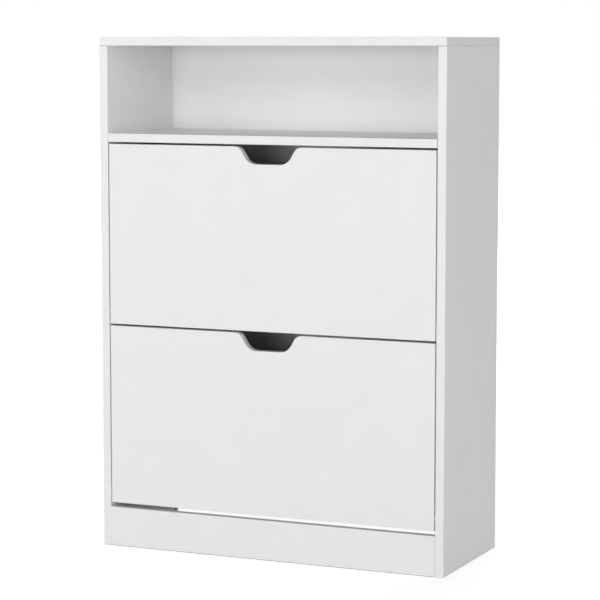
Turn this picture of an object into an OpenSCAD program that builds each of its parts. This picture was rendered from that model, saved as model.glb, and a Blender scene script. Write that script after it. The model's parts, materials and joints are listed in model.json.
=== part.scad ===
// Shoe cabinet with an open compartment above two tip-out flaps.
// Millimetres, +Z up. The origin is on the floor, under the middle of the cabinet.
// The front faces -Y. Each flap turns on two pins near its bottom edge.

/* [Cabinet] */
// Overall width
cab_w = 645; // [500:1:900]
// Overall height, floor to the top of the top panel
cab_h = 900; // [740:1:1200]
// Overall depth
cab_d = 263; // [210:1:360]
// Clear height of the open compartment
niche_h = 152; // [100:1:260]
// Height of the kickboard
kick_h = 70; // [56:1:120]

/* [Boards] */
// Thickness of the cabinet boards and doors
board_t = 15; // [12:0.5:22]
// Thickness of the boards inside the racks
rack_t = 9; // [6:0.5:12]
// Thickness of the back panel sheets
back_t = 3; // [2.5:0.5:5]
// Distance from the rear edges of the cabinet to the back panel
back_lip = 12; // [8:0.5:20]
// Depth of the grooves that hold the back panel
groove_depth = 6; // [4:0.5:8]
// Clearance of the back panel in its grooves, in front and behind
groove_fit = 0.4; // [0.1:0.05:0.8]
// Height of the two rear rails
rail_h = 60; // [50:1:90]

/* [Doors] */
// Gap above each door
door_gap = 3.4; // [2:0.1:5]
// Gap between a door and each side panel
side_gap = 2; // [1.5:0.1:4]
// Gap between the kickboard and the lower door
kick_gap = 8.2; // [3:0.1:20]
// Height of the pivot pins above a door's bottom edge
pivot_rise = 20; // [16:1:35]
// How far a flap tips forward, in degrees
open_angle = 48; // [30:1:55]

/* [Handle cut-out] */
// Width of the cut-out at half its depth
handle_w = 90; // [70:1:140]
// Depth of the cut-out below the door's top edge
handle_depth = 30; // [20:1:45]
// Slope of the cut-out's sides, in degrees from level
handle_slope = 60; // [50:1:75]
// Radius of the two upper corners
handle_top_r = 16; // [5:1:20]
// Radius of the two lower corners
handle_low_r = 24; // [5:1:26]

/* [Racks] */
// Thickness of the moulded side frames
frame_t = 6; // [5:0.5:9]
// Gap between a side frame and the side panel
frame_gap = 3; // [2:0.5:6]
// Thickness of the frames' ribs and flanges
rib_t = 2.5; // [2:0.1:4]
// How far the ribs stand in from a frame's plate
rib_reach = 10; // [7:1:16]
// Width of the flange that is screwed to the door
flange_w = 24; // [18:1:35]
// Space kept between a rack and the rear rails
rack_clear = 9.5; // [6:0.5:20]
// Space kept between the top of a frame's arc and the door's top edge
swing_clear = 33; // [20:1:60]
// How far the divider board stops below the frames' arc
divider_drop = 55; // [20:1:80]

/* [Fittings] */
// Diameter of the pivot pins and the stop pins
pin_d = 8; // [6:0.1:10]
// Radial clearance of the pivot pins in their bushings
pin_fit = 0.05; // [0.02:0.01:0.1]
// Radial clearance of the stop pins in their slots
stop_fit = 0.3; // [0.2:0.05:0.6]
// Diameter of the cam locks
cam_d = 15; // [12:0.5:15]
// Distance from a board's end to the centre of its cam locks
cam_backset = 24; // [20:1:34]
// Diameter of the wooden dowels
dowel_d = 8; // [6:0.5:8]
// Length of the wooden dowels in a board's end
dowel_grip = 20; // [15:1:30]
// Diameter of the rack screws and back screws
screw_d = 3.5; // [3:0.1:4.2]
// Diameter of the two wall-fixing holes
wall_hole_d = 5.5; // [4:0.5:8]
// Distance between the two wall-fixing holes
wall_hole_gap = 400; // [300:10:460]

/* [Hidden] */

$fn = 48;
// How far a cutter starts outside the face that it cuts
cut_out = 1;
// How far two parts of one turned piece run into each other
join = 1;
// Clearance of a fixed fitting in its hole
hole_fit = 0.05;
// Clearance of a board between the ribs of a frame, and of a sheet in the joining strip
slide_fit = 0.1;

BOARD = [0.95, 0.95, 0.94];
PLASTIC = [0.13, 0.13, 0.14];
CAP = [0.93, 0.93, 0.92];
ZINC = [0.62, 0.63, 0.65];
STEEL = [0.75, 0.76, 0.78];
BEECH = [0.85, 0.70, 0.48];
HARDBOARD = [0.90, 0.89, 0.86];
SIDES = [-1, 1];

// Faces of the cabinet
half_w = cab_w / 2;
front_y = -cab_d / 2;
rear_y = cab_d / 2;
inner_x = half_w - board_t;
side_h = cab_h - board_t;
shelf_top = side_h - niche_h;
shelf_low = shelf_top - board_t;
back_y = rear_y - back_lip - back_t;
rail_y = back_y - board_t;
high_rail_z = shelf_low - rail_h;
low_rail_z = kick_h;

// Doors: the lower edge of each, and their pivot axis
low_door_z = kick_h + kick_gap;
door_h = (shelf_low - low_door_z - 2 * door_gap) / 2;
high_door_z = low_door_z + door_h + door_gap;
door_zs = [low_door_z, high_door_z];
door_x = inner_x - side_gap;
door_back = board_t / 2;
pivot_y = front_y + door_back;

// Racks, measured from the pivot axis: Y back, Z up
frame_x = inner_x - frame_gap - frame_t;
frame_low = -rack_t - rib_t - slide_fit;
arc_r = door_h - pivot_rise - swing_clear;
// Least slope of the line from the pivot to a frame's upper rear corner
corner_angle = 35;
rack_reach = min(rail_y - rack_clear - pivot_y, arc_r * cos(corner_angle));
rear_board_y = rack_reach - rib_t - slide_fit - rack_t;
divider_y = (door_back + rear_board_y - rack_t) / 2;
divider_far_y = divider_y + rack_t + slide_fit + rib_t;
// Space kept between the rear board's top edge and the frames' arc
frame_edge = 4;
rear_board_h = sqrt(pow(arc_r, 2) - pow(rack_reach, 2)) - frame_edge;
divider_h = sqrt(pow(arc_r, 2) - pow(divider_far_y, 2)) - divider_drop;
flange_t = 4;
// How far the flange stops below the top of the arc
flange_drop = 60;
flange_top = arc_r - flange_drop;
// Sides of the polygon that stands for the frames' arc
arc_sides = 180;

// Stop pins: each runs in an arc-shaped slot centred on the pivot axis
pin_r = pin_d / 2;
slot_r = pin_r + stop_fit;
// Plate left between the slot and the divider's rib
slot_edge = 3;
stop_r = divider_y - slide_fit - rib_t - slot_r - slot_edge;
// Where the slot starts and ends, in degrees above level at the pivot
stop_low = 15;
stop_high = stop_low + open_angle;
stop_tip = 5;

// Blind bores in the side panels leave this much of the board
bore_skin = 4.5;
seat = board_t - bore_skin;

// Pivot pins and their flanged bushings, whose flanges are set in from the front face
pin_grip = 25;
pin_end_gap = 1;
bush_wall = 1.5;
bush_r = pin_r + pin_fit + bush_wall;
bush_flange_t = side_gap / 2;
bush_set_in = 0.4;
bush_flange_r = door_back - bush_set_in;

// Cam locks and their bolts
cam_r = cam_d / 2;
cam_skin = 2.5;
cam_depth = board_t - cam_skin;
cam_sink = 0.2;
cam_recess = [4, 1.8];
bolt_thread_r = 2.5;
bolt_shaft_r = 3;
bolt_neck_r = 2;
bolt_neck_len = 5;
bolt_head_r = 3.2;
bolt_head_gap = 0.3;
bolt_bore_r = 3.6;

// Places of the cam locks and dowels along the boards' ends
dowel_r = dowel_d / 2;
shelf_cam_in = 45;
shelf_dowel_in = 75;
kick_cam_down = 22;
kick_dowel_up = 18;
rail_cam_down = 18;
rail_dowel_up = 18;

// Rack screws and back screws
screw_r = screw_d / 2;
screw_len = 24;
screw_head_r = screw_d;
screw_head_h = screw_head_r - screw_r;
screw_recess = [1.8, 1.1];
door_screw_bite = 10;
door_screw_len = flange_t + door_screw_bite;
door_screw_count = 3;
door_screw_low = 28;
back_screw_bite = 14;
back_screw_len = back_t + back_screw_bite;
back_head_h = 1.6;
back_recess = [2, 1];
back_screw_count = 4;
back_screw_in = 50;

// Screws that go down through the top panel, under flush caps
top_head_r = 5;
top_head_h = 3;
top_cap_t = 2;
top_shank_r = 3.5;
top_thread_r = 2.5;
top_thread_len = 36;
top_recess = [2.5, 1.6];
top_screw_in = 42;
top_screw_ys = [front_y + top_screw_in, rear_y - top_screw_in];
top_dowel_in = 78;
top_dowel_ys = [front_y + top_dowel_in, rear_y - top_dowel_in];

// Back panel: two sheets joined by an H-shaped strip
// Space left at the bottom of the grooves
groove_rest = 0.5;
back_x = inner_x + groove_depth - groove_rest;
back_top = side_h + groove_depth - groove_rest;
joint_z = (back_top + low_rail_z) / 2;
strip_web = 1.5;
strip_wall = 1.2;
strip_h = 16;

// A board or block between two corners
module block(low, high) {
    translate(low)
        cube(high - low);
}

// A cross cut for a screwdriver, in the face at the origin that looks along +Z.
// The size is [half the cross's width, depth], and its arms are a fifth as wide as long.
module cross_recess(size) {
    arm = size[0];
    half_t = arm / 5;
    for (turn = [0, 90])
        rotate(turn)
            block([-arm, -half_t, -size[1]], [arm, half_t, cut_out]);
}

// ---- Joints between a board's end and a side panel ----
// Local frame: the origin is on the joint face at the board's middle, +X runs out
// into the side panel, and +Z points to the board face that the cam is bored from.

module at_end(side, y, z, turn) {
    translate([side * inner_x, y, z])
        mirror([side < 0 ? 1 : 0, 0, 0])
            rotate([turn, 0, 0])
                children();
}

// Cam locks face down in the shelf, and to the rear in the kickboard and the rails
FACE_DOWN = 180;
FACE_REAR = -90;

module at_shelf_cams(sides = SIDES) {
    for (side = sides, y = [front_y + shelf_cam_in, back_y - shelf_cam_in])
        at_end(side, y, shelf_low + board_t / 2, FACE_DOWN)
            children();
}

module at_kick_cams(sides = SIDES) {
    for (side = sides)
        at_end(side, front_y + board_t / 2, kick_h - kick_cam_down, FACE_REAR)
            children();
}

module at_high_rail_cams(sides = SIDES) {
    for (side = sides)
        at_end(side, rail_y + board_t / 2, high_rail_z + rail_h - rail_cam_down, FACE_REAR)
            children();
}

module at_low_rail_cams(sides = SIDES) {
    for (side = sides)
        at_end(side, rail_y + board_t / 2, low_rail_z + rail_h - rail_cam_down, FACE_REAR)
            children();
}

module at_all_cams(sides = SIDES) {
    at_shelf_cams(sides)
        children();
    at_kick_cams(sides)
        children();
    at_high_rail_cams(sides)
        children();
    at_low_rail_cams(sides)
        children();
}

module at_shelf_dowels(sides = SIDES) {
    for (side = sides, y = [front_y + shelf_dowel_in, back_y - shelf_dowel_in])
        at_end(side, y, shelf_low + board_t / 2, 0)
            children();
}

module at_kick_dowels(sides = SIDES) {
    for (side = sides)
        at_end(side, front_y + board_t / 2, kick_dowel_up, 0)
            children();
}

module at_high_rail_dowels(sides = SIDES) {
    for (side = sides)
        at_end(side, rail_y + board_t / 2, high_rail_z + rail_dowel_up, 0)
            children();
}

module at_low_rail_dowels(sides = SIDES) {
    for (side = sides)
        at_end(side, rail_y + board_t / 2, low_rail_z + rail_dowel_up, 0)
            children();
}

module at_all_dowels(sides = SIDES) {
    at_shelf_dowels(sides)
        children();
    at_kick_dowels(sides)
        children();
    at_high_rail_dowels(sides)
        children();
    at_low_rail_dowels(sides)
        children();
}

// Dowels that stand in the top edges of the side panels
module at_top_dowels(sides = SIDES) {
    for (side = sides, y = top_dowel_ys)
        translate([side * (half_w - board_t / 2), y, side_h])
            rotate([0, -90, 0])
                children();
}

module at_top_screws(sides = SIDES) {
    for (side = sides, y = top_screw_ys)
        translate([side * (half_w - board_t / 2), y, cab_h])
            children();
}

// Bores for one cam lock and the shank of its bolt, in the board
module cam_cut() {
    translate([-cam_backset, 0, board_t / 2 - cam_depth])
        cylinder(r = cam_r, h = cam_depth + cut_out);
    translate([cut_out, 0, 0])
        rotate([0, -90, 0])
            cylinder(r = bolt_bore_r, h = cam_backset + cut_out);
}

// Bore for the bolt's thread, in the side panel
module bolt_cut() {
    translate([-cut_out, 0, 0])
        rotate([0, 90, 0])
            cylinder(r = bolt_thread_r + hole_fit, h = seat + hole_fit + cut_out);
}

// Disc with a slot for the bolt's head, just below the board's face
module cam_lock() {
    cam_top = board_t / 2 - cam_sink;
    cam_low = board_t / 2 - cam_depth + hole_fit;
    difference() {
        translate([-cam_backset, 0, cam_low])
            cylinder(r = cam_r - hole_fit, h = cam_top - cam_low);
        translate([-cam_backset + cam_r + cut_out, 0, 0])
            rotate([0, -90, 0])
                cylinder(r = bolt_head_r + bolt_head_gap, h = cam_r + cut_out + bolt_neck_len);
        translate([-cam_backset, 0, cam_top])
            cross_recess(cam_recess);
    }
}

// Threaded end in the side panel, shaft, neck, and a head in the middle of the cam lock
module cam_bolt() {
    neck_start = cam_backset - bolt_neck_len - bolt_head_r;
    rotate([0, -90, 0])
        union() {
            translate([0, 0, -seat])
                cylinder(r = bolt_thread_r, h = seat);
            cylinder(r = bolt_shaft_r, h = neck_start);
            translate([0, 0, neck_start])
                cylinder(r = bolt_neck_r, h = bolt_neck_len + join);
            translate([0, 0, neck_start + bolt_neck_len])
                cylinder(r = bolt_head_r, h = 2 * bolt_head_r);
        }
}

// One dowel along X, with its longer part in the board's end
module dowel(spare = 0) {
    translate([-dowel_grip - spare, 0, 0])
        rotate([0, 90, 0])
            cylinder(r = dowel_r + spare, h = dowel_grip + seat + 2 * spare);
}

// ---- Cabinet ----

module at_wall_holes() {
    for (side = SIDES)
        translate([side * wall_hole_gap / 2, rail_y - cut_out, high_rail_z + rail_h / 2])
            rotate([-90, 0, 0])
                children();
}

module wall_hole_cut() {
    cylinder(d = wall_hole_d, h = board_t + back_t + 2 * cut_out);
}

module groove_cut(low, high) {
    block([low[0], back_y - groove_fit, low[1]], [high[0], back_y + back_t + groove_fit, high[1]]);
}

module top_panel() {
    color(BOARD)
        difference() {
            block([-half_w, front_y, side_h], [half_w, rear_y, cab_h]);
            groove_cut(
                [-inner_x - groove_depth, side_h - cut_out],
                [inner_x + groove_depth, side_h + groove_depth]
            );
            at_top_screws()
                top_screw_cut();
            at_top_dowels()
                dowel(hole_fit);
        }
}

module top_screw_cut() {
    head_depth = top_cap_t + top_head_h;
    translate([0, 0, -head_depth])
        cylinder(r = top_head_r + hole_fit, h = head_depth + cut_out);
    translate([0, 0, -board_t - cut_out])
        cylinder(r = top_shank_r + hole_fit, h = board_t);
}

module side_panel(side) {
    outer = side * half_w;
    inner = side * inner_x;
    groove_end = side * (inner_x + groove_depth);
    groove_start = side * (inner_x - cut_out);
    color(BOARD)
        difference() {
            block([min(outer, inner), front_y, 0], [max(outer, inner), rear_y, side_h]);
            groove_cut(
                [min(groove_start, groove_end), -cut_out],
                [max(groove_start, groove_end), side_h + cut_out]
            );
            at_all_cams([side])
                bolt_cut();
            at_all_dowels([side])
                dowel(hole_fit);
            at_top_dowels([side])
                dowel(hole_fit);
            at_top_screws([side])
                translate([0, 0, -board_t - top_thread_len - hole_fit])
                    cylinder(r = top_thread_r + hole_fit, h = board_t + top_thread_len);
            at_pivots([side])
                translate([0, 0, -cut_out])
                    cylinder(r = bush_r + hole_fit, h = seat + hole_fit + cut_out);
            at_stops([side])
                translate([0, 0, -cut_out])
                    cylinder(r = pin_r + hole_fit, h = seat + hole_fit + cut_out);
        }
}

module left_side_panel() {
    side_panel(-1);
}

module right_side_panel() {
    side_panel(1);
}

module niche_shelf() {
    color(BOARD)
        difference() {
            block([-inner_x, front_y, shelf_low], [inner_x, back_y, shelf_top]);
            at_shelf_cams()
                cam_cut();
            at_shelf_dowels()
                dowel(hole_fit);
            at_back_screws(shelf_low + board_t / 2)
                back_screw_cut();
        }
}

module kickboard() {
    color(BOARD)
        difference() {
            block([-inner_x, front_y, 0], [inner_x, front_y + board_t, kick_h]);
            at_kick_cams()
                cam_cut();
            at_kick_dowels()
                dowel(hole_fit);
        }
}

module upper_rear_rail() {
    color(BOARD)
        difference() {
            block([-inner_x, rail_y, high_rail_z], [inner_x, back_y, shelf_low]);
            at_high_rail_cams()
                cam_cut();
            at_high_rail_dowels()
                dowel(hole_fit);
            at_wall_holes()
                wall_hole_cut();
        }
}

module lower_rear_rail() {
    color(BOARD)
        difference() {
            block([-inner_x, rail_y, low_rail_z], [inner_x, back_y, low_rail_z + rail_h]);
            at_low_rail_cams()
                cam_cut();
            at_low_rail_dowels()
                dowel(hole_fit);
            at_back_screws(low_rail_z + rail_h / 2)
                back_screw_cut();
        }
}

module back_panel_upper() {
    color(HARDBOARD)
        difference() {
            block([-back_x, back_y, joint_z + strip_web / 2], [back_x, back_y + back_t, back_top]);
            at_wall_holes()
                wall_hole_cut();
            at_back_screws(shelf_low + board_t / 2)
                back_screw_cut();
        }
}

module back_panel_lower() {
    color(HARDBOARD)
        difference() {
            block([-back_x, back_y, low_rail_z], [back_x, back_y + back_t, joint_z - strip_web / 2]);
            at_back_screws(low_rail_z + rail_h / 2)
                back_screw_cut();
        }
}

// H-shaped strip: the edges of both sheets slide into it
module back_joint_strip() {
    wall_y = strip_wall + slide_fit;
    color(CAP)
        difference() {
            block(
                [-inner_x, back_y - wall_y, joint_z - strip_h / 2],
                [inner_x, back_y + back_t + wall_y, joint_z + strip_h / 2]
            );
            block(
                [-half_w, back_y - slide_fit, joint_z + strip_web / 2],
                [half_w, back_y + back_t + slide_fit, joint_z + strip_h]
            );
            block(
                [-half_w, back_y - slide_fit, joint_z - strip_h],
                [half_w, back_y + back_t + slide_fit, joint_z - strip_web / 2]
            );
        }
}

// ---- Fittings of the cabinet ----

module cam_locks() {
    color(ZINC)
        at_all_cams()
            cam_lock();
}

module cam_bolts() {
    color(STEEL)
        at_all_cams()
            cam_bolt();
}

module wooden_dowels() {
    color(BEECH) {
        at_all_dowels()
            dowel();
        at_top_dowels()
            dowel();
    }
}

module top_screws() {
    color(STEEL)
        at_top_screws()
            difference() {
                union() {
                    translate([0, 0, -top_cap_t - top_head_h])
                        cylinder(r = top_head_r, h = top_head_h);
                    translate([0, 0, -board_t])
                        cylinder(r = top_shank_r, h = board_t - top_cap_t - join);
                    translate([0, 0, -board_t - top_thread_len])
                        cylinder(r = top_thread_r, h = top_thread_len + join);
                }
                translate([0, 0, -top_cap_t])
                    cross_recess(top_recess);
            }
}

module top_screw_caps() {
    color(CAP)
        at_top_screws()
            translate([0, 0, -top_cap_t])
                cylinder(r = top_head_r - hole_fit, h = top_cap_t);
}

// Places along one row of screws through the back panel
module at_back_screws(z) {
    row = 2 * (inner_x - back_screw_in);
    for (i = [0 : back_screw_count - 1])
        translate([-row / 2 + i * row / (back_screw_count - 1), back_y + back_t, z])
            rotate([-90, 0, 0])
                children();
}

module back_screw_cut() {
    translate([0, 0, -back_screw_len - hole_fit])
        cylinder(r = screw_r + hole_fit, h = back_screw_len + hole_fit + cut_out);
}

module back_screws() {
    color(STEEL)
        for (z = [shelf_low + board_t / 2, low_rail_z + rail_h / 2])
            at_back_screws(z)
                difference() {
                    union() {
                        translate([0, 0, -back_screw_len])
                            cylinder(r = screw_r, h = back_screw_len + join);
                        cylinder(r = screw_head_r, h = back_head_h);
                    }
                    translate([0, 0, back_head_h])
                        cross_recess(back_recess);
                }
}

// Places on the inner faces of the side panels, +Z pointing out into the panel
module at_pivots(sides = SIDES) {
    for (side = sides, z = door_zs)
        translate([side * inner_x, pivot_y, z + pivot_rise])
            rotate([0, side * 90, 0])
                children();
}

module at_stops(sides = SIDES) {
    for (side = sides, z = door_zs)
        translate([
            side * inner_x,
            pivot_y + stop_r * cos(stop_high),
            z + pivot_rise + stop_r * sin(stop_high)
        ])
            rotate([0, side * 90, 0])
                children();
}

module pivot_bushings() {
    color(CAP)
        at_pivots()
            difference() {
                union() {
                    cylinder(r = bush_r, h = seat);
                    translate([0, 0, -bush_flange_t])
                        cylinder(r = bush_flange_r, h = bush_flange_t);
                }
                translate([0, 0, -bush_flange_t - cut_out])
                    cylinder(r = pin_r + pin_fit, h = bush_flange_t + seat + 2 * cut_out);
            }
}

module stop_pins() {
    color(STEEL)
        at_stops()
            translate([0, 0, -frame_gap - stop_tip])
                cylinder(r = pin_r, h = frame_gap + stop_tip + seat);
}

// ---- Flaps: drawn around their pivot axis, then lifted into place ----

module at_flap(door_z) {
    translate([0, pivot_y, door_z + pivot_rise])
        children();
}

// Points of an arc about c from angle a0 to angle a1
function arc(c, r, a0, a1, steps = 10) =
    [for (i = [0 : steps]) c + r * [cos(a0 + (a1 - a0) * i / steps), sin(a0 + (a1 - a0) * i / steps)]];

// Right half of the handle cut-out: X from the middle, Y down from the top edge.
// The upper corner turns from the level edge into the slope, the lower one into the floor.
function handle_half() =
    let (
        lean = tan(90 - handle_slope) * handle_depth / 2,
        tangent = tan(handle_slope / 2),
        top_x = handle_w / 2 + lean + handle_top_r * tangent,
        low_x = handle_w / 2 - lean - handle_low_r * tangent
    )
    concat(
        arc([top_x, -handle_top_r], handle_top_r, 90, 90 + handle_slope),
        arc([low_x, -handle_depth + handle_low_r], handle_low_r, handle_slope - 90, -90)
    );

module handle_cut() {
    right = handle_half();
    left = [for (i = [len(right) - 1 : -1 : 0]) [-right[i][0], right[i][1]]];
    top_x = right[0][0];
    rotate([90, 0, 0])
        linear_extrude(height = board_t + 2 * cut_out, center = true)
            polygon(concat([[top_x, cut_out]], right, left, [[-top_x, cut_out]]));
}

module flap_door() {
    color(BOARD)
        difference() {
            block([-door_x, -door_back, -pivot_rise], [door_x, door_back, door_h - pivot_rise]);
            translate([0, 0, door_h - pivot_rise])
                handle_cut();
            for (side = SIDES)
                translate([side * door_x, 0, 0])
                    rotate([0, -side * 90, 0])
                        translate([0, 0, -cut_out])
                            cylinder(r = pin_r + hole_fit, h = pin_grip + hole_fit + cut_out);
            at_door_screws()
                screw_cut(door_screw_len);
        }
}

module pivot_pins() {
    color(STEEL)
        for (side = SIDES)
            translate([side * (door_x - pin_grip), 0, 0])
                rotate([0, side * 90, 0])
                    cylinder(r = pin_r, h = pin_grip + side_gap + seat - pin_end_gap);
}

// Side view of a frame's plate, X to the rear and Y up, less a margin on every edge
module cheek_outline(margin) {
    intersection() {
        circle(r = arc_r - margin, $fn = arc_sides);
        translate([door_back + margin, frame_low + margin])
            square([rack_reach - door_back - 2 * margin, arc_r]);
    }
}

// Arc-shaped slot for the stop pin, with round ends
module slot_outline() {
    low_end = stop_r * [cos(stop_low), sin(stop_low)];
    high_end = stop_r * [cos(stop_high), sin(stop_high)];
    polygon(concat(
        arc([0, 0], stop_r + slot_r, stop_low, stop_high, 24),
        arc(high_end, slot_r, stop_high, stop_high + 180, 16),
        arc([0, 0], stop_r - slot_r, stop_high, stop_low, 24),
        arc(low_end, slot_r, stop_low + 180, stop_low + 360, 16)
    ));
}

// Turns a side view drawn in X and Y into a slab along X, from x0 to x1
module slab(x0, x1) {
    translate([x0, 0, 0])
        rotate([90, 0, 90])
            linear_extrude(height = x1 - x0)
                children();
}

// The three boards of a rack, each thicker by spare on all sides
module floor_block(spare = 0) {
    low_y = door_back + flange_t + slide_fit;
    high_y = rack_reach - rib_t - slide_fit;
    block([-frame_x, low_y - spare, -rack_t - spare], [frame_x, high_y + spare, spare]);
}

module upright_block(y, height, spare = 0) {
    block([-frame_x, y - spare, -spare], [frame_x, y + rack_t + spare, height + spare]);
}

// Ribs of the right-hand frame: two beside each board, and a rim round the plate
module frame_ribs() {
    grip = rib_t + slide_fit;
    rib_x = frame_x - rib_reach;
    slab(rib_x, frame_x + cut_out)
        intersection() {
            cheek_outline(0);
            union() {
                translate([door_back, frame_low])
                    square([rack_reach - door_back, rack_t + 2 * grip]);
                translate([divider_y - grip, 0])
                    square([rack_t + 2 * grip, divider_h]);
                translate([rear_board_y - grip, 0])
                    square([rack_reach - rear_board_y + grip, arc_r]);
            }
        }
    slab(frame_x - rib_t, frame_x + cut_out)
        difference() {
            cheek_outline(0);
            cheek_outline(rib_t);
        }
    block(
        [frame_x - flange_w, door_back, frame_low],
        [frame_x + cut_out, door_back + flange_t, flange_top]
    );
}

module right_frame_body() {
    difference() {
        union() {
            slab(frame_x, frame_x + frame_t)
                cheek_outline(0);
            frame_ribs();
        }
        slab(frame_x - cut_out, frame_x + frame_t + cut_out)
            slot_outline();
        floor_block(slide_fit);
        upright_block(divider_y, arc_r, slide_fit);
        upright_block(rear_board_y, arc_r, slide_fit);
        at_board_screws([1])
            screw_cut(screw_len);
        at_door_screws([1])
            screw_cut(door_screw_len);
    }
}

module rack_frame(side) {
    color(PLASTIC)
        mirror([side < 0 ? 1 : 0, 0, 0])
            right_frame_body();
}

// Screws through the frames into the ends of the boards, heads on the outer face
module at_board_screws(sides = SIDES) {
    half_t = rack_t / 2;
    floor_span = rear_board_y - door_back;
    for (side = sides, part = [1 / 4, 3 / 4], place = [
        [door_back + floor_span * part, -half_t],
        [divider_y + half_t, divider_h * part],
        [rear_board_y + half_t, rear_board_h * part]
    ])
        translate([side * (frame_x + frame_t), place[0], place[1]])
            rotate([0, side * 90, 0])
                children();
}

// Screws through the flanges into the back of the door
module at_door_screws(sides = SIDES) {
    step = (flange_top - 2 * door_screw_low) / (door_screw_count - 1);
    for (side = sides, i = [0 : door_screw_count - 1])
        translate([side * (frame_x - flange_w / 2), door_back + flange_t, door_screw_low + i * step])
            rotate([-90, 0, 0])
                children();
}

// Countersunk screw: its head is flush with the face at the origin that looks along +Z
module screw(length) {
    difference() {
        union() {
            translate([0, 0, -length])
                cylinder(r = screw_r, h = length);
            translate([0, 0, -screw_head_h])
                cylinder(r1 = screw_r, r2 = screw_head_r, h = screw_head_h);
        }
        cross_recess(screw_recess);
    }
}

module screw_cut(length) {
    translate([0, 0, -length - hole_fit])
        cylinder(r = screw_r + hole_fit, h = length + cut_out);
    translate([0, 0, -screw_head_h - hole_fit])
        cylinder(
            r1 = screw_r,
            r2 = screw_head_r + hole_fit + cut_out,
            h = screw_head_h + hole_fit + cut_out
        );
}

module rack_floor() {
    color(BOARD)
        difference() {
            floor_block();
            at_board_screws()
                screw_cut(screw_len);
        }
}

module rack_upright(y, height) {
    color(BOARD)
        difference() {
            upright_block(y, height);
            at_board_screws()
                screw_cut(screw_len);
        }
}

module rack_screws() {
    color(STEEL) {
        at_board_screws()
            screw(screw_len);
        at_door_screws()
            screw(door_screw_len);
    }
}

module upper_door() {
    at_flap(high_door_z)
        flap_door();
}

module upper_left_frame() {
    at_flap(high_door_z)
        rack_frame(-1);
}

module upper_right_frame() {
    at_flap(high_door_z)
        rack_frame(1);
}

module upper_rack_floor() {
    at_flap(high_door_z)
        rack_floor();
}

module upper_rack_divider() {
    at_flap(high_door_z)
        rack_upright(divider_y, divider_h);
}

module upper_rack_rear() {
    at_flap(high_door_z)
        rack_upright(rear_board_y, rear_board_h);
}

module upper_pivot_pins() {
    at_flap(high_door_z)
        pivot_pins();
}

module upper_rack_screws() {
    at_flap(high_door_z)
        rack_screws();
}

module lower_door() {
    at_flap(low_door_z)
        flap_door();
}

module lower_left_frame() {
    at_flap(low_door_z)
        rack_frame(-1);
}

module lower_right_frame() {
    at_flap(low_door_z)
        rack_frame(1);
}

module lower_rack_floor() {
    at_flap(low_door_z)
        rack_floor();
}

module lower_rack_divider() {
    at_flap(low_door_z)
        rack_upright(divider_y, divider_h);
}

module lower_rack_rear() {
    at_flap(low_door_z)
        rack_upright(rear_board_y, rear_board_h);
}

module lower_pivot_pins() {
    at_flap(low_door_z)
        pivot_pins();
}

module lower_rack_screws() {
    at_flap(low_door_z)
        rack_screws();
}

top_panel();
left_side_panel();
right_side_panel();
niche_shelf();
kickboard();
upper_rear_rail();
lower_rear_rail();
back_panel_upper();
back_panel_lower();
back_joint_strip();
cam_locks();
cam_bolts();
wooden_dowels();
top_screws();
top_screw_caps();
back_screws();
pivot_bushings();
stop_pins();
upper_door();
upper_left_frame();
upper_right_frame();
upper_rack_floor();
upper_rack_divider();
upper_rack_rear();
upper_pivot_pins();
upper_rack_screws();
lower_door();
lower_left_frame();
lower_right_frame();
lower_rack_floor();
lower_rack_divider();
lower_rack_rear();
lower_pivot_pins();
lower_rack_screws();
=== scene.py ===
# %% [markdown]
# # A shoe cabinet with two tip-out flaps
#
# This lesson dresses a finished CAD model of a slim shoe cabinet. The CAD model fixes every size
# and joint. Here each board gets softened arrises, an edge band and a melamine face, the moulded
# racks get rounded edges, and the metal fittings get their shine. Nothing is moved or resized.

# %% Load the frame
import json
import math

import bmesh
import bpy
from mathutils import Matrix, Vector


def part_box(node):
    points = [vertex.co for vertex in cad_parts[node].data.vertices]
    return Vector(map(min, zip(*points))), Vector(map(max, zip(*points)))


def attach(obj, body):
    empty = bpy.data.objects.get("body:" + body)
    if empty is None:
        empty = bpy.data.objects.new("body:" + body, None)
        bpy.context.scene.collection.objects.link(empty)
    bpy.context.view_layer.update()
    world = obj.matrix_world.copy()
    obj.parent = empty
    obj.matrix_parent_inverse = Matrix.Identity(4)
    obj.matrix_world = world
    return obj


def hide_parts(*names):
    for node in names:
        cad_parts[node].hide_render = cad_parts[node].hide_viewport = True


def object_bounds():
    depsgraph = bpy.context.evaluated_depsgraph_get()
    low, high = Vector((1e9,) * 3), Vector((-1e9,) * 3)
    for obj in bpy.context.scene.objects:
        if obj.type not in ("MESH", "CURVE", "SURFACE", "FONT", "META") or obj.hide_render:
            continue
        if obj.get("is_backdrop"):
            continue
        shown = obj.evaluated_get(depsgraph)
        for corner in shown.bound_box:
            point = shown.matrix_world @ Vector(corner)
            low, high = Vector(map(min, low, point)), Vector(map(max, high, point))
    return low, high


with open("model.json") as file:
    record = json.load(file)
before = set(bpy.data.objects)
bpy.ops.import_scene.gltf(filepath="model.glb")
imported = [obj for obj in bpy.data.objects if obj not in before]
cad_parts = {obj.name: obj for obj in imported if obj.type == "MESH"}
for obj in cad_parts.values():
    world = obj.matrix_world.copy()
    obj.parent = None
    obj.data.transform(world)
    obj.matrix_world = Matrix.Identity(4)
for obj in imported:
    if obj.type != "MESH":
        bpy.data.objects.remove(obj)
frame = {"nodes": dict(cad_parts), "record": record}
CAD_LOW, CAD_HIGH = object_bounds()
MM = 0.001
print("cabinet", [round(x, 3) for x in CAD_HIGH - CAD_LOW], "m, nodes", len(frame["nodes"]))

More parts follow.
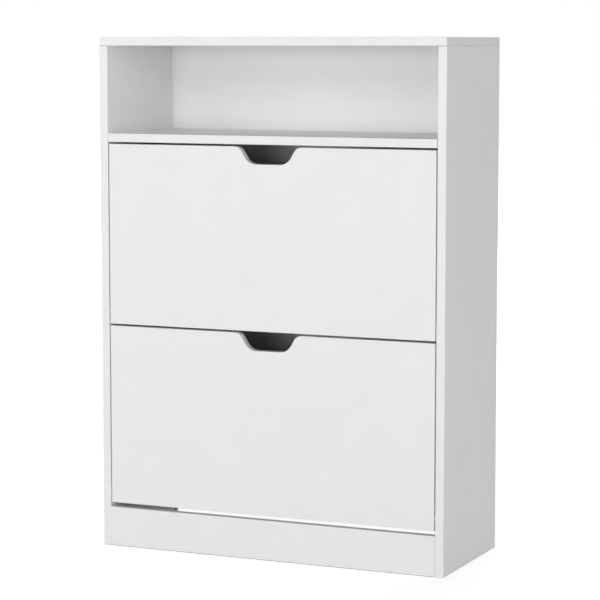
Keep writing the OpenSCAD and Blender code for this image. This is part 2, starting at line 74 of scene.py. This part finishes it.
# %% [markdown]
# ## Camera
#
# The cabinet is seen a little from its right, turned by 24 degrees, with the lens just below the
# top panel. A long lens far away keeps the perspective gentle. The camera is tipped down by a few
# degrees and has no lens shift, so that it frames the cabinet as well from every other side.

# %% Make the camera
EYE = Vector((1.636, -3.665, 0.889))
TURN = math.radians(24.03)
TIP = math.radians(6.38)
LENS = 137.7

lens = bpy.data.cameras.new("studio_camera")
lens.lens = LENS
lens.sensor_width = 36
lens.dof.use_dof = False
camera = bpy.data.objects.new("studio_camera", lens)
camera.location = EYE
camera.rotation_euler = (math.pi / 2 - TIP, 0, TURN)
bpy.context.scene.collection.objects.link(camera)
bpy.context.scene.camera = camera
print("camera at", tuple(EYE), "with a", LENS, "mm lens")

# %% [markdown]
# ## Studio
#
# A white cabinet shows its shape only by small steps of grey, so each face needs its own amount of
# light. Big softboxes stand in front for the doors and at the right for the side. Others stand at
# the left, behind and overhead for whoever walks round the cabinet. A dim even sky fills the rest,
# and the Standard view keeps whites white.

# %% Light the studio
scene = bpy.context.scene
scene.view_settings.view_transform = "Standard"
SKY_LIGHT = 0.18  # what the sky gives as a lamp
SKY_SEEN = 1.0  # how bright it looks behind the cabinet


def make_sky():
    """An even sky: dimmer as a lamp than as a backdrop, so that the cabinet keeps its greys."""
    world = bpy.data.worlds.new("studio_sky")
    scene.world = world
    world.use_nodes = True
    nodes, links = world.node_tree.nodes, world.node_tree.links
    nodes.clear()
    lamp = nodes.new("ShaderNodeBackground")
    lamp.inputs["Color"].default_value = (1, 1, 1, 1)
    lamp.inputs["Strength"].default_value = SKY_LIGHT
    seen = nodes.new("ShaderNodeBackground")
    seen.inputs["Color"].default_value = (1, 1, 1, 1)
    seen.inputs["Strength"].default_value = SKY_SEEN
    path = nodes.new("ShaderNodeLightPath")
    mix = nodes.new("ShaderNodeMixShader")
    out = nodes.new("ShaderNodeOutputWorld")
    links.new(path.outputs["Is Camera Ray"], mix.inputs["Fac"])
    links.new(lamp.outputs[0], mix.inputs[1])
    links.new(seen.outputs[0], mix.inputs[2])
    links.new(mix.outputs[0], out.inputs["Surface"])


def make_softbox(name, place, aim, size, watts):
    """A rectangular soft lamp, `size` wide and high in metres, that faces the point `aim`."""
    lamp = bpy.data.lights.new(name, "AREA")
    lamp.shape = "RECTANGLE"
    lamp.size, lamp.size_y = size
    lamp.energy = watts
    box = bpy.data.objects.new(name, lamp)
    box.location = place
    box.rotation_euler = (Vector(aim) - Vector(place)).to_track_quat("-Z", "Y").to_euler()
    scene.collection.objects.link(box)


make_sky()
make_softbox("front_softbox", place=(0.3, -6.0, 0.8), aim=(0, 0, 0.6), size=(3.0, 1.4), watts=110)
make_softbox("upper_front_softbox", place=(0.2, -5.2, 2.8), aim=(0, 0, 0.5), size=(2.4, 1.6), watts=35)
make_softbox("near_left_softbox", place=(-1.7, -2.2, 1.2), aim=(-0.2, 0, 0.5), size=(1.4, 1.4), watts=12)
make_softbox("right_front_softbox", place=(4.4, -5.2, 1.6), aim=(0, 0, 0.5), size=(3.0, 3.0), watts=45)
make_softbox("right_softbox", place=(5.0, -0.8, 0.9), aim=(0, 0, 0.6), size=(2.6, 1.6), watts=64)
make_softbox("upper_right_softbox", place=(5.0, -1.4, 2.2), aim=(0, 0, 0.6), size=(2.6, 2.6), watts=12)
make_softbox("left_softbox", place=(-5.0, 1.4, 1.4), aim=(0, 0, 0.5), size=(2.6, 2.2), watts=64)
make_softbox("overhead_softbox", place=(0, 0.8, 4.2), aim=(0, 0.2, 0.5), size=(2.0, 1.6), watts=22)
make_softbox("rear_softbox", place=(-1.2, 5.2, 2.6), aim=(0, 0, 0.5), size=(3.0, 3.0), watts=120)

# %% [markdown]
# ## Floor
#
# The floor is a wide disc of pale matt board. To the camera it also glows, more and more with the
# distance from the cabinet, so that it melts into the backdrop. The glow lights nothing else.

# %% Lay the floor
FLOOR_RADIUS = 16
FLOOR_GREY = 0.6
FLOOR_GLOW = 0.62  # how bright the floor glows to the camera near the cabinet
GLOW_FROM = 0.3  # metres from the middle where the glow starts to grow
GLOW_FULL = 1.8  # metres from the middle where the floor is as bright as the sky


def make_floor():
    """The disc, its paint, and a glow that only the camera sees."""
    mesh = bpy.data.meshes.new("studio_floor")
    disc = bmesh.new()
    bmesh.ops.create_circle(disc, cap_ends=True, segments=96, radius=FLOOR_RADIUS)
    disc.to_mesh(mesh)
    disc.free()
    floor = bpy.data.objects.new("studio_floor", mesh)
    floor.location.z = CAD_LOW.z
    scene.collection.objects.link(floor)
    floor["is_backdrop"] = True

    paint = bpy.data.materials.new("pale_floor")
    paint.use_nodes = True
    nodes, links = paint.node_tree.nodes, paint.node_tree.links
    board = nodes["Principled BSDF"]
    board.inputs["Base Color"].default_value = (FLOOR_GREY, FLOOR_GREY, FLOOR_GREY, 1)
    board.inputs["Roughness"].default_value = 0.85
    board.inputs["Emission Color"].default_value = (1, 1, 1, 1)
    place = nodes.new("ShaderNodeTexCoord")
    reach = nodes.new("ShaderNodeVectorMath")
    reach.operation = "LENGTH"
    glow = nodes.new("ShaderNodeMapRange")
    glow.interpolation_type = "SMOOTHSTEP"
    glow.inputs["From Min"].default_value = GLOW_FROM
    glow.inputs["From Max"].default_value = GLOW_FULL
    glow.inputs["To Min"].default_value = FLOOR_GLOW
    glow.inputs["To Max"].default_value = SKY_SEEN
    path = nodes.new("ShaderNodeLightPath")
    seen = nodes.new("ShaderNodeMath")
    seen.operation = "MULTIPLY"
    links.new(place.outputs["Object"], reach.inputs[0])
    links.new(reach.outputs["Value"], glow.inputs["Value"])
    links.new(glow.outputs["Result"], seen.inputs[0])
    links.new(path.outputs["Is Camera Ray"], seen.inputs[1])
    links.new(seen.outputs["Value"], board.inputs["Emission Strength"])
    mesh.materials.append(paint)


make_floor()
print("floor radius", FLOOR_RADIUS, "m")

# %% [markdown]
# ## Finishes: how they are put together
#
# Every finish starts from one Principled shader. Patterns come from noise that is fixed to the
# piece itself, in metres, so that a grain of 1 mm stays 1 mm. Values that are the same all over
# are set on the shader, and only what varies is wired in.

# %% Helpers for finishes
DARK_STOP = 0.3  # most of a noise pattern lies between these two values
LIGHT_STOP = 0.7


class Finish:
    """One material under construction, with its shader and the piece's own coordinates."""

    def __init__(self, name, **values):
        self.material = bpy.data.materials.new(name)
        self.material.use_nodes = True
        self.nodes = self.material.node_tree.nodes
        self.links = self.material.node_tree.links
        self.shader = self.nodes["Principled BSDF"]
        for socket, value in values.items():
            self.shader.inputs[socket.replace("_", " ")].default_value = value
        self.place = self.nodes.new("ShaderNodeTexCoord").outputs["Object"]

    def stretched(self, scale):
        """The piece's coordinates, stretched along the axes with a small scale."""
        mapping = self.nodes.new("ShaderNodeMapping")
        mapping.inputs["Scale"].default_value = scale
        self.links.new(self.place, mapping.inputs["Vector"])
        return mapping.outputs["Vector"]

    def noise(self, grain, detail, place=None):
        """Noise with lumps about `grain` metres across."""
        node = self.nodes.new("ShaderNodeTexNoise")
        node.inputs["Scale"].default_value = 1 / grain
        node.inputs["Detail"].default_value = detail
        self.links.new(place or self.place, node.inputs["Vector"])
        return node.outputs["Fac"]

    def flakes(self, grain):
        """Cells about `grain` metres across, each with a random grey."""
        node = self.nodes.new("ShaderNodeTexVoronoi")
        node.inputs["Scale"].default_value = 1 / grain
        self.links.new(self.place, node.inputs["Vector"])
        split = self.nodes.new("ShaderNodeSeparateColor")
        self.links.new(node.outputs["Color"], split.inputs["Color"])
        return split.outputs["Red"]

    def colours(self, pattern, stops):
        """Base colour from a pattern, through colour stops at (position, colour)."""
        ramp = self.nodes.new("ShaderNodeValToRGB")
        elements = ramp.color_ramp.elements
        for i, (position, colour) in enumerate(stops):
            stop = elements[i] if i < 2 else elements.new(position)
            stop.position = position
            stop.color = (*colour, 1)
        self.links.new(pattern, ramp.inputs["Fac"])
        self.links.new(ramp.outputs["Color"], self.shader.inputs["Base Color"])

    def shades(self, pattern, dark, light):
        """Base colour that wanders between two shades."""
        self.colours(pattern, [(DARK_STOP, dark), (LIGHT_STOP, light)])

    def roughness(self, pattern, low, high):
        """Roughness that wanders between two values."""
        spread = self.nodes.new("ShaderNodeMapRange")
        spread.inputs["To Min"].default_value = low
        spread.inputs["To Max"].default_value = high
        self.links.new(pattern, spread.inputs["Value"])
        self.links.new(spread.outputs["Result"], self.shader.inputs["Roughness"])

    def bump(self, pattern, height, strength):
        """Relief `height` metres deep."""
        node = self.nodes.new("ShaderNodeBump")
        node.inputs["Strength"].default_value = strength
        node.inputs["Distance"].default_value = height
        self.links.new(pattern, node.inputs["Height"])
        self.links.new(node.outputs["Normal"], self.shader.inputs["Normal"])


print("finish helpers ready")

# %% [markdown]
# ## Finish: white melamine and its edge band
#
# Melamine paper pressed on particleboard is a matt, very slightly dimpled white, because the chips
# below show through. The plastic band on the edges is the same white, but smoother, so a close look
# finds the line where they meet.

# %% Make the whites
BOARD_WHITES = ((0.865, 0.865, 0.865), (0.885, 0.885, 0.883))


def white_melamine():
    finish = Finish("white_melamine", Specular_IOR_Level=0.45)
    finish.shades(finish.noise(70 * MM, 4), *BOARD_WHITES)
    finish.roughness(finish.noise(12 * MM, 3), 0.40, 0.52)
    finish.bump(finish.noise(1.6 * MM, 3), 0.03 * MM, 0.5)
    return finish.material


def white_edge_band():
    finish = Finish("white_edge_band", Specular_IOR_Level=0.5)
    along = finish.stretched((0.2, 1, 0.2))
    finish.shades(finish.noise(4 * MM, 2, along), *BOARD_WHITES)
    finish.roughness(finish.noise(6 * MM, 2, along), 0.30, 0.40)
    finish.bump(finish.noise(0.8 * MM, 2, along), 0.02 * MM, 0.4)
    return finish.material


MELAMINE = white_melamine()
EDGE_BAND = white_edge_band()
print("whites:", MELAMINE.name, EDGE_BAND.name)

# %% [markdown]
# ## Finish: raw particleboard
#
# Makers save the band where nobody looks: on the rear edges, on the edges that stand on the floor
# and inside every bore. There the core shows, pressed from flakes of light and dark wood. The broken
# sawn corners get a thin near-black skin: painted shade that stands for the shadow in a joint's gap.

# %% Make the raw core


def raw_particleboard():
    finish = Finish("raw_particleboard", Specular_IOR_Level=0.2)
    finish.colours(
        finish.flakes(1.6 * MM),
        [
            (0.0, (0.30, 0.19, 0.10)),
            (0.35, (0.50, 0.35, 0.20)),
            (0.7, (0.62, 0.46, 0.28)),
            (1.0, (0.72, 0.57, 0.38)),
        ],
    )
    finish.roughness(finish.noise(3 * MM, 2), 0.75, 0.95)
    finish.bump(finish.flakes(1.1 * MM), 0.25 * MM, 0.8)
    return finish.material


# Painted shade: a near-black skin for the broken sawn corners, standing for the shadow in a joint.
def painted_joint_shade():
    finish = Finish("painted_joint_shade", Specular_IOR_Level=0.2)
    finish.shades(finish.noise(2 * MM, 3), (0.055, 0.045, 0.036), (0.11, 0.09, 0.07))
    finish.roughness(finish.noise(3 * MM, 2), 0.8, 0.95)
    finish.bump(finish.flakes(0.9 * MM), 0.1 * MM, 0.6)
    return finish.material


RAW_CORE = raw_particleboard()
PAINTED_JOINT_SHADE = painted_joint_shade()
print("core:", RAW_CORE.name, "and", PAINTED_JOINT_SHADE.name)

# %% [markdown]
# ## Finish: hardboard
#
# The back panel is thin hardboard. Its front is painted white. Its rear is bare, brown and
# fibrous, which is what you see when the cabinet is away from the wall.

# %% Make the hardboards


def hardboard_front():
    finish = Finish("hardboard_white_front", Specular_IOR_Level=0.4)
    finish.shades(finish.noise(50 * MM, 4), (0.86, 0.86, 0.857), (0.88, 0.88, 0.877))
    finish.roughness(finish.noise(10 * MM, 3), 0.45, 0.58)
    finish.bump(finish.noise(1.2 * MM, 3), 0.03 * MM, 0.5)
    return finish.material


def hardboard_rear():
    finish = Finish("hardboard_brown_rear", Specular_IOR_Level=0.25)
    fibres = finish.noise(2.2 * MM, 6, finish.stretched((1, 1, 0.45)))
    finish.colours(
        fibres,
        [(0.25, (0.21, 0.125, 0.065)), (0.5, (0.30, 0.19, 0.105)), (0.8, (0.40, 0.27, 0.155))],
    )
    finish.roughness(finish.noise(4 * MM, 3), 0.62, 0.82)
    finish.bump(fibres, 0.08 * MM, 0.6)
    return finish.material


HARDBOARD_FRONT = hardboard_front()
HARDBOARD_REAR = hardboard_rear()
print("hardboards:", HARDBOARD_FRONT.name, HARDBOARD_REAR.name)

# %% [markdown]
# ## Finish: plastics, metals and dowel wood
#
# The moulded racks are black with a fine grain. Caps and the joining strip are white. The screws
# are bright zinc plate, the cam locks are duller cast zinc, and the dowels are beech.

# %% Make the plastics and metals


def black_moulding():
    finish = Finish("black_moulding", Specular_IOR_Level=0.45)
    finish.shades(finish.noise(20 * MM, 3), (0.020, 0.020, 0.021), (0.028, 0.028, 0.029))
    finish.roughness(finish.noise(4 * MM, 2), 0.42, 0.55)
    finish.bump(finish.noise(0.7 * MM, 2), 0.06 * MM, 0.5)
    return finish.material


def white_moulding():
    finish = Finish("white_moulding", Specular_IOR_Level=0.5)
    finish.shades(finish.noise(10 * MM, 3), (0.78, 0.78, 0.775), (0.81, 0.81, 0.805))
    finish.roughness(finish.noise(3 * MM, 2), 0.34, 0.44)
    finish.bump(finish.noise(0.9 * MM, 2), 0.03 * MM, 0.4)
    return finish.material


def cast_zinc():
    finish = Finish("cast_zinc", Metallic=1.0)
    finish.shades(finish.noise(2 * MM, 4), (0.42, 0.43, 0.45), (0.56, 0.57, 0.59))
    finish.roughness(finish.noise(1 * MM, 3), 0.38, 0.55)
    finish.bump(finish.noise(0.6 * MM, 3), 0.05 * MM, 0.5)
    return finish.material


def zinc_plated_steel():
    finish = Finish("zinc_plated_steel", Metallic=1.0)
    finish.shades(finish.noise(2.5 * MM, 3), (0.60, 0.61, 0.62), (0.72, 0.72, 0.71))
    finish.roughness(finish.noise(1 * MM, 3), 0.22, 0.36)
    finish.bump(finish.noise(0.4 * MM, 2), 0.02 * MM, 0.4)
    return finish.material


def beech():
    finish = Finish("beech", Specular_IOR_Level=0.3)
    grain = finish.noise(1.2 * MM, 4, finish.stretched((0.15, 1, 1)))
    finish.shades(grain, (0.52, 0.33, 0.17), (0.66, 0.46, 0.27))
    finish.roughness(grain, 0.6, 0.75)
    finish.bump(grain, 0.08 * MM, 0.5)
    return finish.material


BLACK_MOULDING = black_moulding()
WHITE_MOULDING = white_moulding()
CAST_ZINC = cast_zinc()
PLATED_STEEL = zinc_plated_steel()
BEECH = beech()
print("finishes so far:", len(bpy.data.materials))

# %% [markdown]
# ## Boards: from CAD solid to shop piece
#
# A CAD board has razor edges and one colour. A real one is sawn, then its good edges are banded and
# rounded with a one-millimetre cutter, while its sawn edges are only broken with sandpaper and show
# the brown core. So each board is copied, its flat triangles are merged, its edges are rounded or
# broken, and its faces are split where each band ends. The rounding draws the bright line round a
# board. The broken sawn corner gets painted shade, a near-black skin that draws the dark line at a
# joint.

# %% Helpers for boards
BODY_OF = {
    node: body for body, members in frame["record"]["behaviour"]["bodies"].items() for node in members
}
BANDED_ROUND = 1.0 * MM  # radius along a banded edge
SAWN_ROUND = 0.8 * MM  # width sanded off a sawn edge
# Broken corners within this reach of a bare side get the painted joint shade.
JOINT_SHADE_REACH = 0.6 * MM  # faces nearer than this to a bare side are its broken corners
BAND = 1.3 * MM  # thickness of the edge band
NEAR = 0.02 * MM  # points this close to a plane lie on it
WELD = 0.001 * MM
ON_CUT = 0.0001 * MM
FLAT = math.radians(0.5)  # faces that meet at less than this are one face
SHARP = math.radians(38)  # edges that turn more than this are edges to the eye
SIDES = ("-x", "+x", "-y", "+y", "-z", "+z")
# The fourth skin is painted shade for the broken sawn corners.
SKINS = (MELAMINE, EDGE_BAND, RAW_CORE, PAINTED_JOINT_SHADE)
MELAMINE_FACE, BAND_FACE, CORE_FACE, JOINT_SHADE_FACE = range(len(SKINS))


def welded_copy(node):
    """The CAD node's solid as one welded mesh with whole flat faces."""
    solid = bmesh.new()
    solid.from_mesh(frame["nodes"][node].data)
    bmesh.ops.remove_doubles(solid, verts=solid.verts, dist=WELD)
    bmesh.ops.dissolve_limit(solid, angle_limit=FLAT, verts=solid.verts, edges=solid.edges)
    return solid


def axis_of(side):
    """The axis number of a side, which is a name such as "-y"."""
    return "xyz".index(side[1])


def depth_under(point, side, low, high):
    """How far a point lies under one side of the box low..high."""
    axis = axis_of(side)
    return high[axis] - point[axis] if side[0] == "+" else point[axis] - low[axis]


def sides_met(edge, low, high):
    """The sides of the box that both ends of an edge lie on."""
    return {
        side
        for side in SIDES
        if all(abs(depth_under(vert.co, side, low, high)) < NEAR for vert in edge.verts)
    }


def is_sharp(edge):
    return edge.is_manifold and edge.calc_face_angle() > SHARP


def round_edges(solid, edges, radius, segments):
    """Rounds edges over with a few narrow faces, or breaks them with a single one."""
    bmesh.ops.bevel(
        solid,
        geom=edges,
        offset=radius,
        segments=segments,
        profile=0.5,
        affect="EDGES",
        clamp_overlap=True,
    )


def split_at_bands(solid, low, high, banded):
    """Splits the faces at the depth of each edge band, so that the band is a skin of its own."""
    for side in banded:
        outward = Vector((0, 0, 0))
        outward[axis_of(side)] = 1 if side[0] == "+" else -1
        corner = high if side[0] == "+" else low
        bmesh.ops.bisect_plane(
            solid,
            geom=solid.verts[:] + solid.edges[:] + solid.faces[:],
            dist=ON_CUT,
            plane_co=corner - outward * BAND,
            plane_no=outward,
        )


def finish_piece(solid, name, node, materials):
    """Turns the mesh into an object that stands for the CAD node and moves with its body."""
    mesh = bpy.data.meshes.new(name)
    solid.normal_update()
    solid.to_mesh(mesh)
    solid.free()
    for material in materials:
        mesh.materials.append(material)
    mesh.shade_smooth()
    mesh.set_sharp_from_angle(angle=SHARP)
    piece = bpy.data.objects.new(name, mesh)
    scene.collection.objects.link(piece)
    weighted = piece.modifiers.new("flat_faces_stay_flat", "WEIGHTED_NORMAL")
    weighted.keep_sharp = True
    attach(piece, BODY_OF[node])
    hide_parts(node)
    return piece


def make_board(node, faces, banded, more_edges=None):
    """A board with melamine on the two sides `faces` and bands on the sides `banded`.

    The function `more_edges` finds edges inside the outline that are rounded too.
    """
    low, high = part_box(node)
    solid = welded_copy(node)
    met = {edge: sides_met(edge, low, high) for edge in solid.edges}
    outer = [edge for edge, sides in met.items() if len(sides) == 2]
    eased = [edge for edge in outer if met[edge] & set(banded)]
    if more_edges:
        eased += more_edges(solid, low, high)
    sawn = [edge for edge in outer if not met[edge] & set(banded)]
    round_edges(solid, eased, BANDED_ROUND, segments=3)
    round_edges(solid, [edge for edge in sawn if edge.is_valid], SAWN_ROUND, segments=1)
    split_at_bands(solid, low, high, banded)
    bare = [side for side in SIDES if side not in faces and side not in banded]
    for face in solid.faces:
        centre = face.calc_center_median()
        # Broken sawn corners get the painted joint shade.
        if any(NEAR < depth_under(centre, side, low, high) < JOINT_SHADE_REACH for side in bare):
            face.material_index = JOINT_SHADE_FACE
        elif any(depth_under(centre, side, low, high) < BAND for side in banded):
            face.material_index = BAND_FACE
        elif min(depth_under(centre, side, low, high) for side in faces) < BANDED_ROUND:
            face.material_index = MELAMINE_FACE
        else:
            face.material_index = CORE_FACE
    return finish_piece(solid, node + "_board", node, SKINS)


print("rounding", BANDED_ROUND / MM, "mm on bands, breaking", SAWN_ROUND / MM, "mm off sawn edges")

# %% [markdown]
# ## The carcass boards
#
# The top panel lies over both side panels. All the front edges are banded. The rear edges and the
# feet of the side panels are left raw. The lips of the grooves for the back panel are eased too,
# which leaves a thin dark line beside the back panel.

# %% Make the carcass boards
PANEL_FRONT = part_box("back_panel_upper")[0].y
GROOVE_SLACK = 1 * MM  # the groove's front is at most this far in front of the panel


def groove_lips(solid, low, high):
    """Edges along the front of the groove for the back panel, on the board's inner face."""
    lip_y = min(vert.co.y for vert in solid.verts if vert.co.y > PANEL_FRONT - GROOVE_SLACK)
    found = []
    for edge in solid.edges:
        at_lip = all(abs(vert.co.y - lip_y) < NEAR for vert in edge.verts)
        if at_lip and edge.is_convex and is_sharp(edge):
            found.append(edge)
    return found


make_board("top_panel", ("-z", "+z"), ("-y", "-x", "+x"), groove_lips)
make_board("left_side_panel", ("-x", "+x"), ("-y",), groove_lips)
make_board("right_side_panel", ("-x", "+x"), ("-y",), groove_lips)
make_board("niche_shelf", ("-z", "+z"), ("-y",))
make_board("kickboard", ("-y", "+y"), ("+z",))
make_board("upper_rear_rail", ("-y", "+y"), ("-z",))
make_board("lower_rear_rail", ("-y", "+y"), ("-z", "+z"))

# %% [markdown]
# ## The doors
#
# A door is banded all round, and the band also runs through the finger cut-out in its top edge.
# The rim of the cut-out is rounded on the front and on the back.

# %% Make the doors
CUTOUT_REACH = 100 * MM  # the cut-out lies within this distance of the door's middle
CUTOUT_DEPTH = 60 * MM  # and within this depth under its top edge
FACES_FRONT = 0.98  # a normal with a larger y part belongs to the door's front or back


def at_cutout(point, high):
    return abs(point.x) < CUTOUT_REACH and high.z - point.z < CUTOUT_DEPTH


def cutout_rim(solid, low, high):
    """Sharp edges round the finger cut-out, on the door's two faces."""
    found = []
    for edge in solid.edges:
        on_skin = sides_met(edge, low, high) & {"-y", "+y"}
        middle = (edge.verts[0].co + edge.verts[1].co) / 2
        if on_skin and at_cutout(middle, high) and is_sharp(edge):
            found.append(edge)
    return found


def band_cutout(piece, high):
    """Gives the walls and rims of the cut-out the same band as the door's outer edges."""
    for polygon in piece.data.polygons:
        if at_cutout(polygon.center, high) and abs(polygon.normal.y) < FACES_FRONT:
            polygon.material_index = BAND_FACE


for door in ("upper_door", "lower_door"):
    piece = make_board(door, ("-y", "+y"), ("-x", "+x", "-z", "+z"), cutout_rim)
    low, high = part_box(door)
    band_cutout(piece, high)
    print(door, "front", round((high.x - low.x) / MM), "by", round((high.z - low.z) / MM), "mm")

# %% [markdown]
# ## The boards inside the racks
#
# Three thin boards make the floor, the divider and the rear wall of each rack. They slide between
# the ribs of the moulded frames.

# %% Make the rack boards
for flap in ("upper", "lower"):
    make_board(flap + "_rack_floor", ("-z", "+z"), ("-y", "+y"))
    make_board(flap + "_rack_divider", ("-y", "+y"), ("+z",))
    make_board(flap + "_rack_rear", ("-y", "+y"), ("+z",))

# %% [markdown]
# ## The back panel
#
# Two hardboard sheets slide down the grooves, with a white strip between them. The front face is
# white and everything else is brown.

# %% Make the back panel
SHEET_ROUND = 0.25 * MM
WHITE_FACE, BROWN_FACE = 0, 1


def make_sheet(node):
    """A sheet of hardboard with broken edges, white in front and brown elsewhere."""
    low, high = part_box(node)
    solid = welded_copy(node)
    outer = [edge for edge in solid.edges if len(sides_met(edge, low, high)) == 2]
    round_edges(solid, outer, SHEET_ROUND, segments=1)
    for face in solid.faces:
        in_front = abs(face.calc_center_median().y - low.y) < NEAR
        face.material_index = WHITE_FACE if in_front else BROWN_FACE
    return finish_piece(solid, node + "_sheet", node, (HARDBOARD_FRONT, HARDBOARD_REAR))


make_sheet("back_panel_upper")
make_sheet("back_panel_lower")
print("back panel done")

# %% [markdown]
# ## Mouldings
#
# Nothing moulded has a sharp edge, so the rack frames, bushings, caps and the joining strip are
# rounded. The rounding is small enough to keep every fit. The rims of a frame's flat faces are
# rounded one level at a time, because a rounding that meets a tiny edge anywhere is cut down to it.

# %% Make the mouldings
FRAME_ROUND = 0.4 * MM
STRIP_ROUND = 0.2 * MM
CAP_ROUND = 0.25 * MM
BUSHING_ROUND = 0.2 * MM
FLAT_AREA = 60 * MM * MM  # only flat faces larger than this get round rims
FACES_SIDEWAYS = 0.999  # a normal with a larger x part belongs to one of them
LEVEL_DIGITS = 5  # levels are told apart to a hundredth of a millimetre


def make_white_moulding(node, radius):
    """The CAD solid with each sharp edge rounded."""
    solid = welded_copy(node)
    sharp = [edge for edge in solid.edges if is_sharp(edge)]
    round_edges(solid, sharp, radius, segments=2)
    return finish_piece(solid, node + "_moulding", node, (WHITE_MOULDING,))


def rims_at(solid, level):
    """Sharp edges that lie in the plane x = level."""
    found = []
    for edge in solid.edges:
        in_plane = all(abs(vert.co.x - level) < NEAR for vert in edge.verts)
        if in_plane and is_sharp(edge):
            found.append(edge)
    return found


def make_frame(node):
    """A rack frame: its biggest flat faces get round rims."""
    solid = welded_copy(node)
    sideways = [face for face in solid.faces if abs(face.normal.x) > FACES_SIDEWAYS]
    flats = [face for face in sideways if face.calc_area() > FLAT_AREA]
    levels = sorted({round(face.calc_center_median().x, LEVEL_DIGITS) for face in flats})
    for level in levels:
        round_edges(solid, rims_at(solid, level), FRAME_ROUND, segments=2)
    print(node, "rounded at x =", [round(level / MM, 2) for level in levels], "mm")
    return finish_piece(solid, node + "_moulding", node, (BLACK_MOULDING,))


for flap in ("upper", "lower"):
    for side in ("left", "right"):
        make_frame(f"{flap}_{side}_frame")
make_white_moulding("back_joint_strip", STRIP_ROUND)
make_white_moulding("top_screw_caps", CAP_ROUND)
make_white_moulding("pivot_bushings", BUSHING_ROUND)

# %% [markdown]
# ## Fittings
#
# The metal and wooden fittings already have their true shapes. They keep them, with slightly eased
# edges that catch the light, and get their finishes.

# %% Dress the fittings
SCREW_EASE = 0.15 * MM
CAM_EASE = 0.2 * MM
DOWEL_EASE = 0.5 * MM


def dress(node, material, ease):
    """Gives a CAD fitting its finish and eased edges, and leaves its mesh as it is."""
    fitting = frame["nodes"][node]
    fitting.material_slots[0].material = material
    edge = fitting.modifiers.new("eased_edges", "BEVEL")
    edge.width = ease
    edge.segments = 2
    edge.limit_method = "ANGLE"
    edge.angle_limit = SHARP


STEEL_FITTINGS = (
    "cam_bolts",
    "top_screws",
    "back_screws",
    "stop_pins",
    "upper_pivot_pins",
    "lower_pivot_pins",
    "upper_rack_screws",
    "lower_rack_screws",
)
for node in STEEL_FITTINGS:
    dress(node, PLATED_STEEL, SCREW_EASE)
dress("cam_locks", CAST_ZINC, CAM_EASE)
dress("wooden_dowels", BEECH, DOWEL_EASE)
print("fittings dressed")

# %% [markdown]
# ## The size
#
# The dressed cabinet has to fill the same box as the CAD model. The last line prints both sizes.

# %% Print the size
low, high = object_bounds()
print("cad", [round(x, 4) for x in CAD_HIGH - CAD_LOW], "visual", [round(x, 4) for x in high - low])
